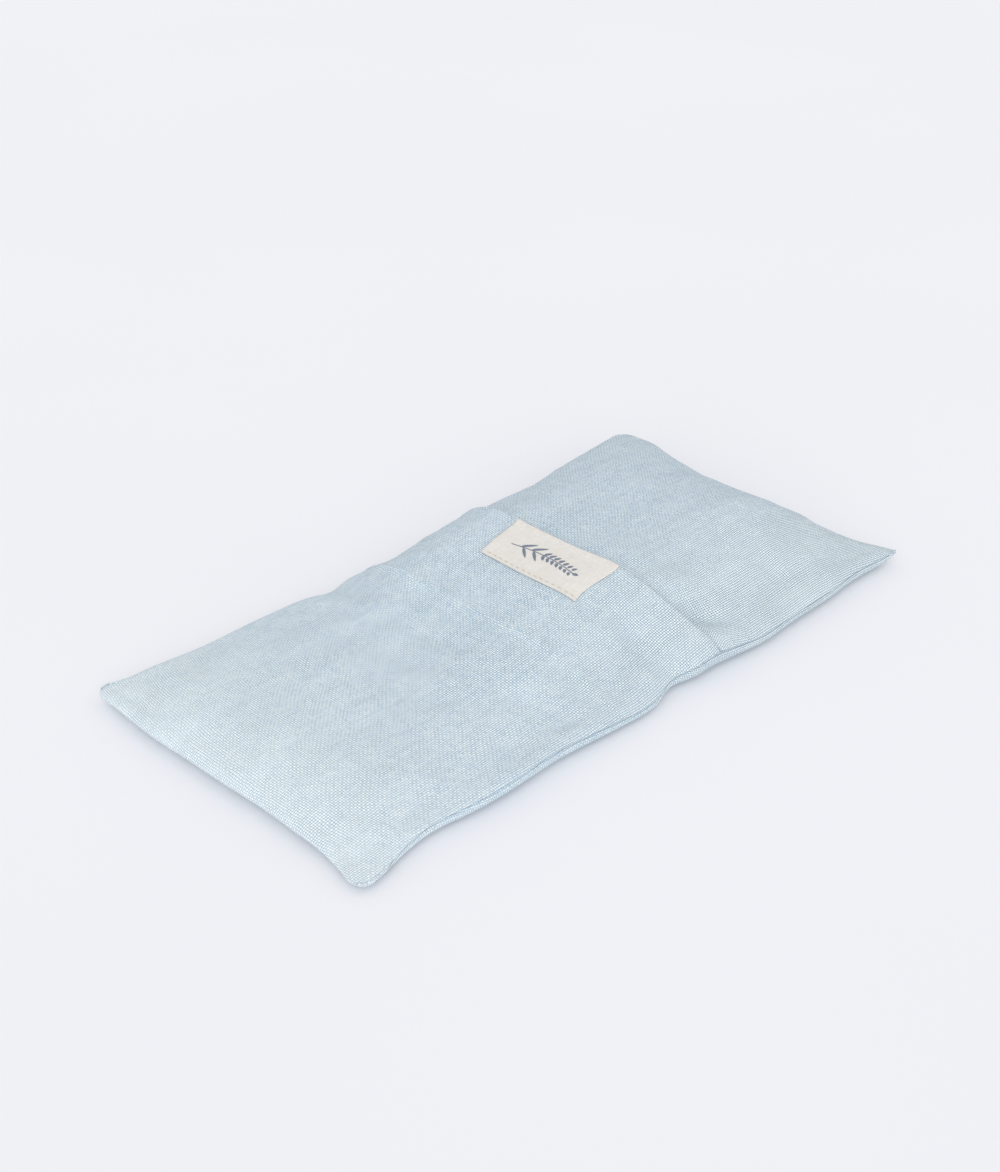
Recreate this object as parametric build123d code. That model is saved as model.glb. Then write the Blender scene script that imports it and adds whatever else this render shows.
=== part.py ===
from build123d import *
import os

# Linen eye pillow, in millimetres.
#
# A washable envelope cover of light linen holds a slim cotton pillow filled with flax seed. The cover is
# one long strip: it starts at the hem of the flap, runs back over the top, turns under at one short end,
# comes forward along the underside, turns up at the other short end and finishes in a second hem under
# the flap. The long sides are sewn. The flap lifts to open the mouth, and the inner pillow shifts inside.
#
# +X runs along the length, from the plain front end to the rear end, whose panel tucks under the flap.
# +Y runs across the width, and +Z is up. The origin is the middle of the footprint, on the underside.

# ---- Cover --------------------------------------------------------------------------------------------
LENGTH = 220.0
WIDTH = 110.0
FRONT_HEIGHT = 24.0         # crown of the front half and the flap, without the label
REAR_HEIGHT = 22.5          # crown of the rear half, which has no hem on it
SEAM_HEIGHT = 5.0           # height of the side seams and of the folded ends
FLAT_LENGTH = 184.0         # the flat of the underside
FLAT_WIDTH = 84.0
CROWN_LENGTH = 130.0        # the level stretch of the top
CROWN_WIDTH = 20.0

LINEN = 0.8                 # one layer of linen
LAYER_GAP = 0.3             # room between layers that move past each other
SEWN_GAP = 0.04             # room between layers that are sewn together
THREAD = 0.25               # how far a stitch stands off its cloth

# ---- Flap and the panel that it covers ----------------------------------------------------------------
FLAP_EDGE_X = 20.0
FLAP_HINGE_X = -35.0        # where the flap starts to lift
FLAP_WIDTH = 94.0           # between the two stretches held down by the side seams
FLAP_HEM = 38.0             # linen turned under along the flap's edge
HEM_MARGIN = 3.5            # the hems stop this short of the sides of the cloth that they are on
REAR_EDGE_X = -20.0         # edge of the rear panel, hidden under the flap
REAR_HEM = 30.0
TONGUE_WIDTH = 91.0         # the rear panel where it lies under the flap
RIDGE_LENGTH = 2.0          # step in the rear panel where it comes out from under the flap

# ---- Label --------------------------------------------------------------------------------------------
LABEL_LENGTH = 19.0         # along X, back from the flap's edge
LABEL_WIDTH = 41.0          # along Y
LABEL_CENTRE_Y = -1.5
LABEL_THICKNESS = 0.45
LABEL_MARGIN = 1.2          # from the label's edge to its stitches

# ---- Seam allowances, turned down inside both long sides ------------------------------------------------
ALLOWANCE_WIDTH = 8.0
ALLOWANCE_THICKNESS = 1.0
ALLOWANCE_LENGTH = 204.0
SEAM_STITCH_INSET = 6.0     # from the long side in to the seam stitches

# ---- Stitches -------------------------------------------------------------------------------------------
STITCH_PITCH = 3.0
STITCH_LENGTH = 2.2
STITCH_WIDTH = 0.5
HEM_STITCH_INSET = 1.5      # from the fold's inner edge to its stitches
LABEL_STITCH_PITCH = 2.4
LABEL_STITCH_LENGTH = 1.6
OVERLOCK_PITCH = 2.4
OVERLOCK_LENGTH = 2.6
CLOSING_PITCH = 4.5
CLOSING_LENGTH = 2.0

# ---- Inner pillow ---------------------------------------------------------------------------------------
INNER_LENGTH = 207.0
INNER_WIDTH = 94.0
INNER_BOTTOM = 1.2
INNER_SEAM_HEIGHT = 6.0
INNER_HEIGHT = 19.8
INNER_FLAT_LENGTH = 166.0
INNER_FLAT_WIDTH = 62.0
INNER_CROWN_LENGTH = 118.0
INNER_CROWN_WIDTH = 18.0
COTTON = 0.5                # one layer of the bag
FILL_GAP = 0.05
INNER_STITCH_INSET = 3.0    # from the bag's edge to its seam stitches
CLOSING_WIDTH = 60.0        # hand-sewn stretch of one end, through which the bag was filled

# ---- Where each layer lies, measured inwards from the outer surface of the front half -------------------
FLAP_HEM_INSET = LINEN + SEWN_GAP
TONGUE_INSET = FLAP_HEM_INSET + LINEN + LAYER_GAP
REAR_HEM_INSET = TONGUE_INSET + LINEN + SEWN_GAP
ALLOWANCE_INSET = LINEN + LAYER_GAP
LABEL_INSET = -SEWN_GAP - LABEL_THICKNESS

CLEAR = 5.0                 # how far cutting blocks run past the cloth
ABOVE_SEAM = (SEAM_HEIGHT, FRONT_HEIGHT + CLEAR)
BELOW_SEAM = (-CLEAR, SEAM_HEIGHT)
WHOLE_LENGTH = (-LENGTH / 2 - CLEAR, LENGTH / 2 + CLEAR)
WHOLE_WIDTH = (-WIDTH / 2 - CLEAR, WIDTH / 2 + CLEAR)


# ---- Shapes that everything is cut from -----------------------------------------------------------------
def side_view(span, flat, crown, bottom, seam, top):
    """Outline of a pillow: flat underside, round up to the seam at each side, level crown on top."""
    half, flat_half, crown_half = span / 2, flat / 2, crown / 2
    return make_face([
        Line((-flat_half, bottom), (flat_half, bottom)),
        TangentArc((flat_half, bottom), (half, seam), tangent=(1, 0)),
        TangentArc((crown_half, top), (half, seam), tangent=(1, 0)),
        Line((-crown_half, top), (crown_half, top)),
        TangentArc((-crown_half, top), (-half, seam), tangent=(-1, 0)),
        TangentArc((-flat_half, bottom), (-half, seam), tangent=(-1, 0)),
    ])


def pillow(long_view, cross_view, inset):
    """Solid whose surface lies inset millimetres inside both outlines, or outside if it is negative."""
    long_face, cross_face = long_view, cross_view
    if inset:
        long_face = offset(long_view, amount=-inset, kind=Kind.INTERSECTION)
        cross_face = offset(cross_view, amount=-inset, kind=Kind.INTERSECTION)
    return extrude(Plane.XZ * long_face, WIDTH, both=True) & extrude(Plane.YZ * cross_face, LENGTH, both=True)


def cover_shape(height, inset):
    """The cover's shape with its crown at the given height."""
    long_view = side_view(LENGTH, FLAT_LENGTH, CROWN_LENGTH, 0, SEAM_HEIGHT, height)
    cross_view = side_view(WIDTH, FLAT_WIDTH, CROWN_WIDTH, 0, SEAM_HEIGHT, height)
    return pillow(long_view, cross_view, inset)


def front_shape(inset):
    return cover_shape(FRONT_HEIGHT, inset)


def rear_shape(inset):
    return cover_shape(REAR_HEIGHT, inset)


def inner_shape(inset):
    long_view = side_view(
        INNER_LENGTH, INNER_FLAT_LENGTH, INNER_CROWN_LENGTH, INNER_BOTTOM, INNER_SEAM_HEIGHT, INNER_HEIGHT)
    cross_view = side_view(
        INNER_WIDTH, INNER_FLAT_WIDTH, INNER_CROWN_WIDTH, INNER_BOTTOM, INNER_SEAM_HEIGHT, INNER_HEIGHT)
    return pillow(long_view, cross_view, inset)


def layer(shape, inset, thickness):
    """Cloth of one thickness whose outer face lies inset millimetres inside the shape."""
    return shape(inset) - shape(inset + thickness)


def block(x_limits, y_limits, z_limits):
    """Box between two limits on each axis, which cuts a layer to size."""
    limits = (x_limits, y_limits, z_limits)
    centre = [(low + high) / 2 for low, high in limits]
    size = [high - low for low, high in limits]
    return Pos(*centre) * Box(*size)


def centred(span):
    """Limits of a span that is centred on the pillow."""
    return (-span / 2, span / 2)


def side_strip(side, start, span):
    """Limits on Y of a strip that runs inwards from start, on the far side (1) or the near side (-1)."""
    edges = (side * start, side * (start - span))
    return (min(edges), max(edges))


# ---- Stitches -------------------------------------------------------------------------------------------
def row_places(start, end, pitch):
    """Evenly spaced places, centred in the stretch from start to end."""
    count = int((end - start) / pitch)
    first = (start + end - (count - 1) * pitch) / 2
    return [first + index * pitch for index in range(count)]


def row_along_x(y, x_limits, z_limits, pitch=STITCH_PITCH, length=STITCH_LENGTH, width=STITCH_WIDTH):
    """Blocks, one for each stitch of a row that runs along X."""
    half, thin = length / 2, width / 2
    return [
        block((x - half, x + half), (y - thin, y + thin), z_limits)
        for x in row_places(*x_limits, pitch)
    ]


def row_along_y(x, y_limits, z_limits, pitch=STITCH_PITCH, length=STITCH_LENGTH, width=STITCH_WIDTH):
    """Blocks, one for each stitch of a row that runs along Y."""
    half, thin = length / 2, width / 2
    return [
        block((x - thin, x + thin), (y - half, y + half), z_limits)
        for y in row_places(*y_limits, pitch)
    ]


def sew(thread_layer, rows):
    """Stitches of thread: what each block leaves of the thin layer that lies on the cloth."""
    stitches = []
    for stitch_block in rows:
        stitches += (thread_layer & stitch_block).solids()
    return Compound(children=stitches)


# ---- Cover panels ---------------------------------------------------------------------------------------
def cover_back_panel():
    """Underside, turned up to the seams and to the two folded ends."""
    return layer(front_shape, 0, LINEN) & block(WHOLE_LENGTH, WHOLE_WIDTH, BELOW_SEAM)


def cover_front_panel():
    """Top of the front half, with the two stretches beside the flap that the side seams hold down."""
    panel = layer(front_shape, 0, LINEN) & block((WHOLE_LENGTH[0], FLAP_EDGE_X), WHOLE_WIDTH, ABOVE_SEAM)
    flap_room = block(
        (FLAP_HINGE_X, FLAP_EDGE_X + CLEAR), centred(FLAP_WIDTH + 2 * LAYER_GAP), ABOVE_SEAM)
    return panel - flap_room


def cover_flap():
    """Loose part of the top, from the hinge line to the hemmed edge."""
    return layer(front_shape, 0, LINEN) & block(
        (FLAP_HINGE_X + LAYER_GAP, FLAP_EDGE_X), centred(FLAP_WIDTH), ABOVE_SEAM)


def flap_hem_fold():
    return layer(front_shape, FLAP_HEM_INSET, LINEN) & block(
        (FLAP_EDGE_X - FLAP_HEM, FLAP_EDGE_X), centred(FLAP_WIDTH - 2 * HEM_MARGIN), ABOVE_SEAM)


def cover_rear_panel():
    """Top of the rear half, its step down beside the flap, and the tongue that lies under the flap."""
    ridge_start = FLAP_EDGE_X + LAYER_GAP
    ridge_end = ridge_start + RIDGE_LENGTH
    top = layer(rear_shape, 0, LINEN) & block((ridge_start, WHOLE_LENGTH[1]), WHOLE_WIDTH, ABOVE_SEAM)
    tongue = layer(front_shape, TONGUE_INSET, LINEN) & block(
        (REAR_EDGE_X, ridge_end), centred(TONGUE_WIDTH), ABOVE_SEAM)
    ridge = (rear_shape(0) - front_shape(TONGUE_INSET + LINEN)) & block(
        (ridge_start, ridge_end), centred(TONGUE_WIDTH), ABOVE_SEAM)
    return top + ridge + tongue


def rear_hem_fold():
    return layer(front_shape, REAR_HEM_INSET, LINEN) & block(
        (REAR_EDGE_X, REAR_EDGE_X + REAR_HEM), centred(TONGUE_WIDTH - 2 * HEM_MARGIN), ABOVE_SEAM)


# ---- Hem stitches and label -----------------------------------------------------------------------------
def flap_hem_stitches():
    x = FLAP_EDGE_X - FLAP_HEM + HEM_STITCH_INSET
    rows = row_along_y(x, centred(FLAP_WIDTH - 2 * HEM_MARGIN), ABOVE_SEAM)
    return sew(layer(front_shape, -SEWN_GAP - THREAD, THREAD), rows)


def rear_hem_stitches():
    x = REAR_EDGE_X + REAR_HEM - HEM_STITCH_INSET
    rows = row_along_y(x, centred(TONGUE_WIDTH - 2 * HEM_MARGIN - STITCH_LENGTH), ABOVE_SEAM)
    return sew(layer(front_shape, REAR_HEM_INSET + LINEN + SEWN_GAP, THREAD), rows)


def label_limits(margin):
    """Limits of the label on X and on Y, drawn in by a margin."""
    x_limits = (FLAP_EDGE_X - LABEL_LENGTH + margin, FLAP_EDGE_X - margin)
    half = LABEL_WIDTH / 2 - margin
    return x_limits, (LABEL_CENTRE_Y - half, LABEL_CENTRE_Y + half)


def label():
    return layer(front_shape, LABEL_INSET, LABEL_THICKNESS) & block(*label_limits(0), ABOVE_SEAM)


def label_stitches():
    """Stitches along the label's two long edges."""
    x_limits, y_limits = label_limits(LABEL_MARGIN)
    rows = []
    for x in x_limits:
        rows += row_along_y(x, y_limits, ABOVE_SEAM, LABEL_STITCH_PITCH, LABEL_STITCH_LENGTH)
    return sew(layer(front_shape, LABEL_INSET - SEWN_GAP - THREAD, THREAD), rows)


# ---- Side seams, the same on both long sides ------------------------------------------------------------
def seam_allowance(side):
    return layer(front_shape, ALLOWANCE_INSET, ALLOWANCE_THICKNESS) & block(
        centred(ALLOWANCE_LENGTH), side_strip(side, WIDTH / 2, ALLOWANCE_WIDTH + ALLOWANCE_INSET), BELOW_SEAM)


def seam_thread_layer():
    """Thin layer of thread on the inner face of the allowances."""
    return layer(front_shape, ALLOWANCE_INSET + ALLOWANCE_THICKNESS + SEWN_GAP, THREAD)


def side_stitches(side):
    rows = row_along_x(side * (WIDTH / 2 - SEAM_STITCH_INSET), centred(ALLOWANCE_LENGTH), BELOW_SEAM)
    return sew(seam_thread_layer(), rows)


def overlock(side):
    """Threads that wrap the raw edge of an allowance, square to it."""
    raw_edge = WIDTH / 2 - ALLOWANCE_INSET - ALLOWANCE_WIDTH
    rows = row_along_x(
        side * (raw_edge + OVERLOCK_LENGTH / 2), centred(ALLOWANCE_LENGTH), BELOW_SEAM,
        OVERLOCK_PITCH, STITCH_WIDTH, OVERLOCK_LENGTH)
    return sew(seam_thread_layer(), rows)


# ---- Inner pillow ---------------------------------------------------------------------------------------
INNER_ABOVE_SEAM = (INNER_SEAM_HEIGHT, FRONT_HEIGHT)
INNER_BELOW_SEAM = (-CLEAR, INNER_SEAM_HEIGHT)


def inner_bag_top():
    return layer(inner_shape, 0, COTTON) & block(WHOLE_LENGTH, WHOLE_WIDTH, INNER_ABOVE_SEAM)


def inner_bag_bottom():
    return layer(inner_shape, 0, COTTON) & block(WHOLE_LENGTH, WHOLE_WIDTH, INNER_BELOW_SEAM)


def inner_seam_stitches():
    """Machine stitches round the bag, apart from the stretch that was left open for filling."""
    end_x = INNER_LENGTH / 2 - INNER_STITCH_INSET
    side_y = INNER_WIDTH / 2 - INNER_STITCH_INSET
    rows = row_along_y(end_x, (-side_y, side_y), INNER_ABOVE_SEAM)
    for side in (-1, 1):
        beside_closing = sorted((side * CLOSING_WIDTH / 2, side * side_y))
        rows += row_along_y(-end_x, beside_closing, INNER_ABOVE_SEAM)
        rows += row_along_x(side * side_y, (STITCH_PITCH - end_x, end_x - STITCH_PITCH), INNER_ABOVE_SEAM)
    return sew(layer(inner_shape, -SEWN_GAP - THREAD, THREAD), rows)


def inner_closing_stitches():
    """Hand stitches across the closed filling gap, wider apart and square to the edge."""
    rows = row_along_y(
        INNER_STITCH_INSET - INNER_LENGTH / 2, centred(CLOSING_WIDTH), INNER_ABOVE_SEAM,
        CLOSING_PITCH, STITCH_WIDTH, CLOSING_LENGTH)
    return sew(layer(inner_shape, -SEWN_GAP - THREAD, THREAD), rows)


def seed_filling():
    return inner_shape(COTTON + FILL_GAP)


# ---- Every piece, by the name of its file ---------------------------------------------------------------
FAR, NEAR = 1, -1
pieces = {
    "cover_back_panel": cover_back_panel(),
    "cover_front_panel": cover_front_panel(),
    "cover_rear_panel": cover_rear_panel(),
    "cover_flap": cover_flap(),
    "flap_hem_fold": flap_hem_fold(),
    "flap_hem_stitches": flap_hem_stitches(),
    "rear_hem_fold": rear_hem_fold(),
    "rear_hem_stitches": rear_hem_stitches(),
    "label": label(),
    "label_stitches": label_stitches(),
    "inner_bag_top": inner_bag_top(),
    "inner_bag_bottom": inner_bag_bottom(),
    "inner_seam_stitches": inner_seam_stitches(),
    "inner_closing_stitches": inner_closing_stitches(),
    "seed_filling": seed_filling(),
}
for side_name, side in (("far", FAR), ("near", NEAR)):
    pieces[f"seam_allowance_{side_name}"] = seam_allowance(side)
    pieces[f"side_stitches_{side_name}"] = side_stitches(side)
    pieces[f"overlock_{side_name}"] = overlock(side)

os.makedirs("parts", exist_ok=True)
for name, piece in pieces.items():
    export_step(piece, f"parts/{name}.step")
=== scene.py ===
import math

import bpy
import numpy as np
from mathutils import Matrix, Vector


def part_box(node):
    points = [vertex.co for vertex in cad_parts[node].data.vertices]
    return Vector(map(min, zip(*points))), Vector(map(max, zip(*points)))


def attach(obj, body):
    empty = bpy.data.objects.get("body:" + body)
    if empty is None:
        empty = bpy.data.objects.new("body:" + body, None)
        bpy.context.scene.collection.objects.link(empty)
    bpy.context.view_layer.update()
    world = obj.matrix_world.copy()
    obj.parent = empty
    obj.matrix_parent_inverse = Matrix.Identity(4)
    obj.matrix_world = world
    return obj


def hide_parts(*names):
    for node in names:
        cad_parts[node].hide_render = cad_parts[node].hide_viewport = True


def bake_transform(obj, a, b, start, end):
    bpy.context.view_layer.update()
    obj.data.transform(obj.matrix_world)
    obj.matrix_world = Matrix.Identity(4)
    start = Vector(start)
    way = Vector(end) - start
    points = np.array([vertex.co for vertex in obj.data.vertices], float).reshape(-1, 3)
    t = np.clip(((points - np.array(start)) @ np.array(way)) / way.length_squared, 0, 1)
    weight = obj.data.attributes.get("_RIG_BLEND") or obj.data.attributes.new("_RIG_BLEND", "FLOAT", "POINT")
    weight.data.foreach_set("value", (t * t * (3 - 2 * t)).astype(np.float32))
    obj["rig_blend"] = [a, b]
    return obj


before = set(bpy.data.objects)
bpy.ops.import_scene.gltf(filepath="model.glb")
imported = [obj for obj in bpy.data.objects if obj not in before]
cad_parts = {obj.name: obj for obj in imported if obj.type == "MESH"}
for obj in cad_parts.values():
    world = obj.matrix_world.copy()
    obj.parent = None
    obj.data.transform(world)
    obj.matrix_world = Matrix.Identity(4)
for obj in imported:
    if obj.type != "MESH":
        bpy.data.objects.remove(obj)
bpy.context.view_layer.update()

# Looks of a linen eye pillow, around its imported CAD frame.
#
# The cover is one strip of light blue linen. It is drawn from one soft shape, given by formulas in
# millimetres: a place on the pillow is (along, across), measured on the flat cover from the corner between
# the plain front end and the near long side. Each layer of cloth lies at its own depth under that shape.

MM = 0.001


# ---- Sizes that come from the frame, in millimetres ----
pillow_corner = np.array(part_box("cover_back_panel")[0]) / MM * (1, 1, 0)


def spans(node):
    """Where a CAD node starts and ends along X, Y and Z, from the pillow's front end and near side."""
    low, high = np.array(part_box(node)) / MM
    return zip(low - pillow_corner, high - pillow_corner)


(_, LENGTH), (_, WIDTH), (_, SEAM_HEIGHT) = spans("cover_back_panel")
(FLAP_HINGE, FLAP_EDGE), *_ = spans("cover_flap")
(FLAP_HEM_EDGE, flap_fold), *_ = spans("flap_hem_fold")
(REAR_EDGE, REAR_HEM_EDGE), *_ = spans("rear_hem_fold")
(LABEL_START, LABEL_END), (LABEL_NEAR, LABEL_FAR), _ = spans("label")
FLAP_HEM = flap_fold - FLAP_HEM_EDGE
REAR_HEM = REAR_HEM_EDGE - REAR_EDGE

# ---- The soft shape, in millimetres ----
FRONT_RISE = 6.5  # crown above the seams near the front end
MIDDLE_RISE = 19.4  # behind the flap's edge, where the seed has gathered
REAR_FALL = 1.2  # how much lower the crown is again at the rear end
RISE_STARTS, RISE_ENDS = 0.24, 0.66  # shares of the length
NEAR_ROUND, FAR_ROUND = 49.0, 32.0  # how far in from each side the top goes on rising
FRONT_ROUND, REAR_ROUND = 22.0, 43.0
SIDE_SLOPE, END_SLOPE = 1.7, 1.2  # 1 is a round edge; more is flatter, like a roof
UNDER_SIDE_ROUND, UNDER_END_ROUND = 7.0, 13.0  # the same for the underside, down to the flat
SHOULDER = 0.9  # height of the rounded cloth above and below each side seam
TUCK = 1.6  # how deep the seam lies between them
SHOULDER_REACH = 8.0
SEAM_LOWER = 0.5  # how much lower the cloth's outer edge lies than the frame's seam
SEAM_REACH, FRONT_REACH = 30.0, 26.0  # how far in a lift or droop of the edge still shows

NEAR_PULL, FAR_PULL = -0.9, 3.0  # how far the filling draws in the middle of each edge
FRONT_PULL, REAR_PULL = 0.3, 5.4
FRONT_NEAR_OUT, FRONT_FAR_OUT = 1.6, 0.9  # the front corners poke out, and the far rear one is drawn in
REAR_FAR_IN = 1.7
REAR_FAR_LIFT = 6.3  # how far that corner stands above the seams
FRONT_NEAR_DROP, FRONT_FAR_DROP = 1.8, 0.5

# Where each edge is drawn in, or pushed out if below zero: (place along that edge, spread, how far)
NEAR_DRAWN_IN = ((5, 7, -2.1), (27, 12, 2.4), (72, 14, 1.2), (117, 7, 3.0), (132, 7, 0.7), (154, 10, -0.9),
                 (201, 12, 1.2))
FAR_DRAWN_IN = ((0, 8, -1.8), (34, 14, 1.3), (80, 6, 2.6), (104, 10, 1.4), (136, 12, -0.7), (184, 14, -1.5))
FRONT_DRAWN_IN = ((0, 5, -0.9), (16, 12, 1.9), (36, 14, 1.4), (82, 14, -1.0))
REAR_DRAWN_IN = ((0, 12, -4.0), (24, 9, -0.5), (60, 10, -0.3), (95, 8, 0.5))
# Where the near seam stands higher, or lower if below zero, given in the same way
NEAR_SEAM_RISES = ((55, 20, 0.9), (104, 12, -1.2), (133, 12, 1.8))

LINEN = 0.55  # one layer of linen
PLY_GAP = 0.1
FLAP_STEP = 2 * LINEN + PLY_GAP  # a hem's two layers, and the flap above the rear panel
UNDER_FLAP_DEPTH = FLAP_STEP + PLY_GAP
NEAR_BOW, FAR_BOW = 4.0, 7.0  # how much nearer the rear the flap's two ends lie
BOW_REACH = 60.0  # and how far before its edge that begins
HEM_SHOWS = 0.45  # how far the double cloth of the hem stands up
HEM_RIDGE, EDGE_RIDGE = 0.35, 0.5  # and its inner edge and its fold above that
UNDER_JOIN = 12.0  # where the front piece ends, under the pillow's front end

# Folds of the top: their places along and across the pillow, and their height or depth
DIMPLE_ALONG, DIMPLE_ACROSS, DIMPLE_DEPTH = 139, 11.5, 7.5  # beside the flap's near end
RIDGE_ALONG, RIDGE_ACROSS, RIDGE_HEIGHT = 131, 23, 1.8  # from there to the rear
VALLEY_OFFSET, VALLEY_DEPTH = 9, 0.7  # beyond that ridge
CREASE_ALONG, CREASE_ACROSS, CREASE_HEIGHT = 127, 18, 0.3  # on the flap
GAPE_ALONG, GAPE_ACROSS, GAPE_DEPTH = 135, 31, 0.8  # behind the flap's edge
ROLL_ACROSS, ROLL_HEIGHT = 31, 1.5  # along the near side
HOLLOW_ACROSS, HOLLOW_DEPTH = 9, 0.9  # between the roll and the near seam


def smooth(value, start, end):
    """0 before start, 1 after end, with a smooth slope between."""
    t = np.clip((value - start) / (end - start), 0, 1)
    return t * t * (3 - 2 * t)


def bump(value, centre, width):
    """1 at the centre and 0 well away from it."""
    return np.exp(-((value - centre) / width) ** 2)


def bumps(value, rows):
    """Sum of bumps, each given by its place, spread and height."""
    return sum(height * bump(value, place, spread) for place, spread, height in rows)


def round_up(distance, radius):
    """Profile of a rounded edge: 0 at the edge with an upright slope, 1 from the radius inwards."""
    left = np.clip(1 - distance / radius, 0, 1)
    return np.sqrt(1 - left * left)


def arch(share):
    """0 at both ends, 1 in the middle."""
    return 4 * share * (1 - share)


def round_corner(from_end, from_side, radius):
    """Distances from a corner's two edges, with the square corner pressed into a round one."""
    u = np.clip(1 - from_end / radius, 0, 1)
    v = np.clip(1 - from_side / radius, 0, 1)
    inside = (u > 0) & (v > 0)
    round_end = radius * (1 - u * np.sqrt(1 - v * v / 2))
    round_side = radius * (1 - v * np.sqrt(1 - u * u / 2))
    return np.where(inside, round_end, from_end), np.where(inside, round_side, from_side)


# (rear end, far side, radius) of each corner
CORNERS = ((False, False, 4.5), (False, True, 5.0), (True, False, 1.5), (True, True, 9.0))


def with_round_corners(along, across):
    """Place on the pillow after its four corners have been rounded off."""
    for rear, far, radius in CORNERS:
        end, side = LENGTH - along if rear else along, WIDTH - across if far else across
        end, side = round_corner(end, side, radius)
        along, across = LENGTH - end if rear else end, WIDTH - side if far else side
    return along, across


def plan(along, across):
    """X and Y of a place on the pillow: the edges are drawn in by the filling between the corners."""
    share, side = along / LENGTH, across / WIDTH
    x = along - LENGTH / 2 - (1 - share) * (1 - side) * FRONT_NEAR_OUT - share * side * REAR_FAR_IN
    x = x + (1 - share) ** 2 * (FRONT_PULL * arch(side) + bumps(across, FRONT_DRAWN_IN))
    x = x - share ** 2 * (REAR_PULL * arch(side) + bumps(across, REAR_DRAWN_IN))
    y = across - WIDTH / 2 + (1 - share) * side * FRONT_FAR_OUT
    y = y + (1 - side) ** 2 * (NEAR_PULL * arch(share) + bumps(along, NEAR_DRAWN_IN))
    y = y - side ** 2 * (FAR_PULL * arch(share) + bumps(along, FAR_DRAWN_IN))
    return x, y


def seam_line_height(along, across):
    """Height of the outer edge, which droops at the front corners and lifts at the rear ones."""
    front, rear, near, far = along, LENGTH - along, across, WIDTH - across
    height = SEAM_HEIGHT - SEAM_LOWER + bumps(along, NEAR_SEAM_RISES) * bump(near, 0, SEAM_REACH)
    height = height + REAR_FAR_LIFT * bump(rear, 0, SEAM_REACH) * bump(far, 0, SEAM_REACH)
    height = height - FRONT_NEAR_DROP * bump(front, 0, FRONT_REACH) * bump(near, 0, FRONT_REACH)
    return height - FRONT_FAR_DROP * bump(front, 0, FRONT_REACH) * bump(far, 0, FRONT_REACH)


def heights(along, across):
    """Height of the top and of the underside at a place on the pillow."""
    share = along / LENGTH
    near, far, front, rear = across, WIDTH - across, along, LENGTH - along
    edge = seam_line_height(along, across)
    rise = FRONT_RISE + (MIDDLE_RISE - FRONT_RISE) * smooth(share, RISE_STARTS, RISE_ENDS)
    rise = rise - REAR_FALL * smooth(share, RISE_ENDS, 1)
    fullness = ((round_up(near, NEAR_ROUND) * round_up(far, FAR_ROUND)) ** SIDE_SLOPE
                * (round_up(front, FRONT_ROUND) * round_up(rear, REAR_ROUND)) ** END_SLOPE)
    floor_share = (round_up(near, UNDER_SIDE_ROUND) * round_up(far, UNDER_SIDE_ROUND)
                   * round_up(front, UNDER_END_ROUND) * round_up(rear, UNDER_END_ROUND))
    shoulder = SHOULDER * seam_shows(along) * (1 - smooth(np.minimum(near, far), 0, SHOULDER_REACH))
    top = edge + shoulder + (rise + relief(along, across)) * fullness
    under = (edge - shoulder) * (1 - floor_share)
    return top, under


def seam_shows(along):
    """The groove of a side seam fades out at the two folded ends."""
    return smooth(along, 4, 20) * smooth(LENGTH - along, 0.5, 7)


def relief(along, across):
    """Low hollows and swellings left by the seed and by the pull of the seams."""
    waves = 0.35 * np.sin(along / 17 + across / 31) * np.sin(across / 19 + 0.6)
    waves = waves + 0.25 * np.sin(along / 9.5 - across / 23 + 1.0) * np.sin(across / 13)
    behind_flap = smooth(along, FLAP_EDGE + 1, FLAP_EDGE + 8)
    dimple_line = DIMPLE_ACROSS - (along - DIMPLE_ALONG) * 0.25
    dimple = -DIMPLE_DEPTH * bump(along, DIMPLE_ALONG, 6.5) * bump(across, dimple_line, 4.0) * behind_flap
    ridge_line = RIDGE_ACROSS - (along - RIDGE_ALONG) * 0.15
    ridge = RIDGE_HEIGHT * bump(across, ridge_line, 5.0) * behind_flap * (1 - smooth(along, 185, 215))
    valley_line = ridge_line + VALLEY_OFFSET
    valley = -VALLEY_DEPTH * bump(across, valley_line, 4.0) * behind_flap * (1 - smooth(along, 150, 175))
    crease_line = CREASE_ACROSS + (CREASE_ALONG - along) * 0.1
    crease = CREASE_HEIGHT * bump(across, crease_line, 1.8) * bump(along, CREASE_ALONG - 5, 9)
    gape = -GAPE_DEPTH * bump(along, GAPE_ALONG, 4) * bump(across, GAPE_ACROSS, 9)
    roll = ROLL_HEIGHT * bump(across, ROLL_ACROSS, 11) - HOLLOW_DEPTH * bump(across, HOLLOW_ACROSS, 7)
    return waves + dimple + ridge + valley + crease + gape + roll * smooth(along, 45, 85)


def on_shape(along, across, under=False):
    """Point on the soft shape, on its top or its underside."""
    along, across = np.broadcast_arrays(along * 1.0, across * 1.0)
    x, y = plan(*with_round_corners(along, across))
    top, bottom = heights(along, across)
    points = np.stack([x, y, bottom if under else top], axis=-1)
    if not under and settled is not None:
        points = points + settled_move(along, across)
    return points


# ---- Cloth simulation ----
# The top of the cover is blown up as loose cloth with its seams held. What is kept of the movement is its
# small folds and puckers, no more than SETTLE_MOST high, so the measured shape stays as it is.
SETTLE_STEP = 2.0  # distance between points of the simulated cloth
SETTLE_MOST = 0.45
SETTLE_FRAMES = 20
SETTLE_KEPT = 0.7  # share of the folds that is kept
FOLD_PASSES = 14  # passes of averaging that leave only what is larger than the folds
SETTLE_MARGIN = 4.0  # from each edge to where the folds are whole
settled = None


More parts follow.
